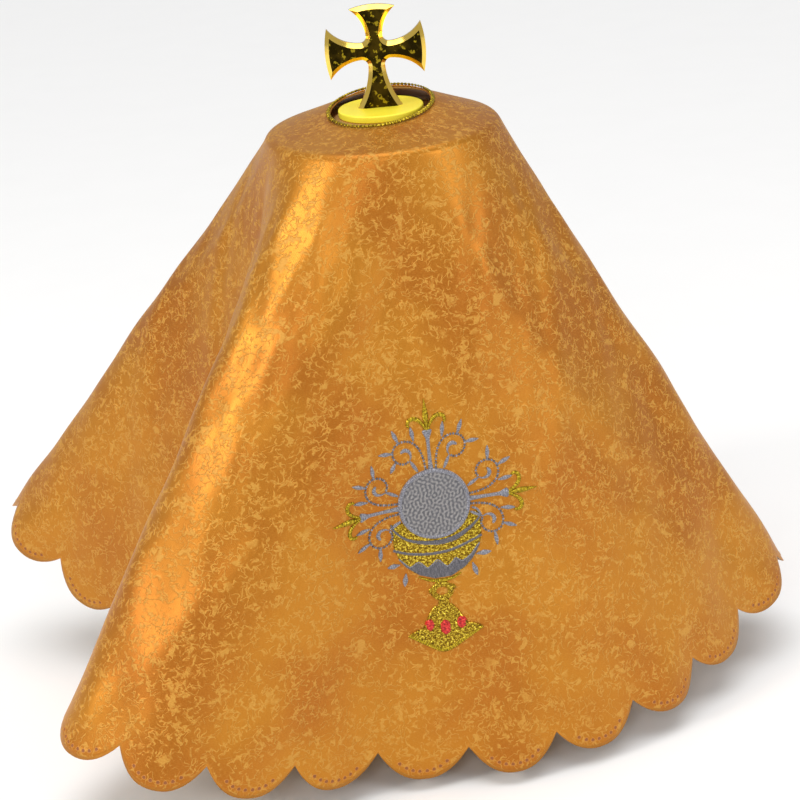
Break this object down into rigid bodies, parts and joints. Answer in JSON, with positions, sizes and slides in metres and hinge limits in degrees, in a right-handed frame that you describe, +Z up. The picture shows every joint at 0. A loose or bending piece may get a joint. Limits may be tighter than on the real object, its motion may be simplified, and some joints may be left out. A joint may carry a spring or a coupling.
{
  "type": "veiled ciborium",
  "caption": "Lidded footed cup with a flared cross on its lid, under a lined gold damask veil with a scalloped hem, a braided opening and an embroidered emblem.",
  "frame": {"origin": "centre of the foot's underside, on the axis of the cup", "axes": "+Z up along the cup's axis, -Y towards the front of the veil with its emblem, +X to the right seen from the front"},
  "size_m": [0.42, 0.3435, 0.3616],
  "materials": {
    "gilt_metal": "satin gilt",
    "plain_brass": "machined",
    "polished_gold": "polished gilt",
    "felt": "felt",
    "gold_damask": "satin damask with a matt crackle figure",
    "satin_lining": "satin",
    "gold_thread": "metallic embroidery thread",
    "silver_thread": "satin stitched thread",
    "red_thread": "satin stitched thread"
  },
  "bodies": {
    "vessel": {"foot_felt": "felt", "foot_plate": "gilt_metal", "foot_ring": "gilt_metal", "foot_shell": "gilt_metal", "foot_washer": "plain_brass", "foot_nut": "plain_brass", "foot_collar": "gilt_metal", "lower_stem": "gilt_metal", "lower_knop_collar": "gilt_metal", "knop": "gilt_metal", "upper_knop_collar": "gilt_metal", "upper_stem": "gilt_metal", "cup_collar": "gilt_metal", "tie_rod": "plain_brass", "cup_socket": "plain_brass", "cup_bowl": "gilt_metal", "cup_calyx": "gilt_metal", "cup_rim_bead": "gilt_metal"},
    "lid": {"lid_dome": "gilt_metal", "lid_band": "gilt_metal", "lid_rim": "gilt_metal", "lid_sleeve": "gilt_metal", "lid_boss": "polished_gold", "lid_washer": "plain_brass", "lid_nut": "plain_brass", "cross": "polished_gold", "cross_stud": "plain_brass"},
    "veil": {"veil_cloth": "gold_damask", "veil_lining": "satin_lining", "opening_braid": "gold_thread", "emblem_host": "silver_thread", "emblem_rays": "silver_thread", "emblem_finials": "gold_thread", "emblem_bowl": "gold_thread", "emblem_stem": "gold_thread", "emblem_foot": "gold_thread", "emblem_gems": "red_thread"}
  },
  "joints": [
    {"name": "lid_lift", "type": "slide", "parent": "vessel", "child": "lid", "axis": [0, 0, 1], "range_m": [0, 0.32]},
    {"name": "veil_lift", "type": "slide", "parent": "lid", "child": "veil", "axis": [0, 0, 1], "range_m": [0, 0.37]}
  ]
}
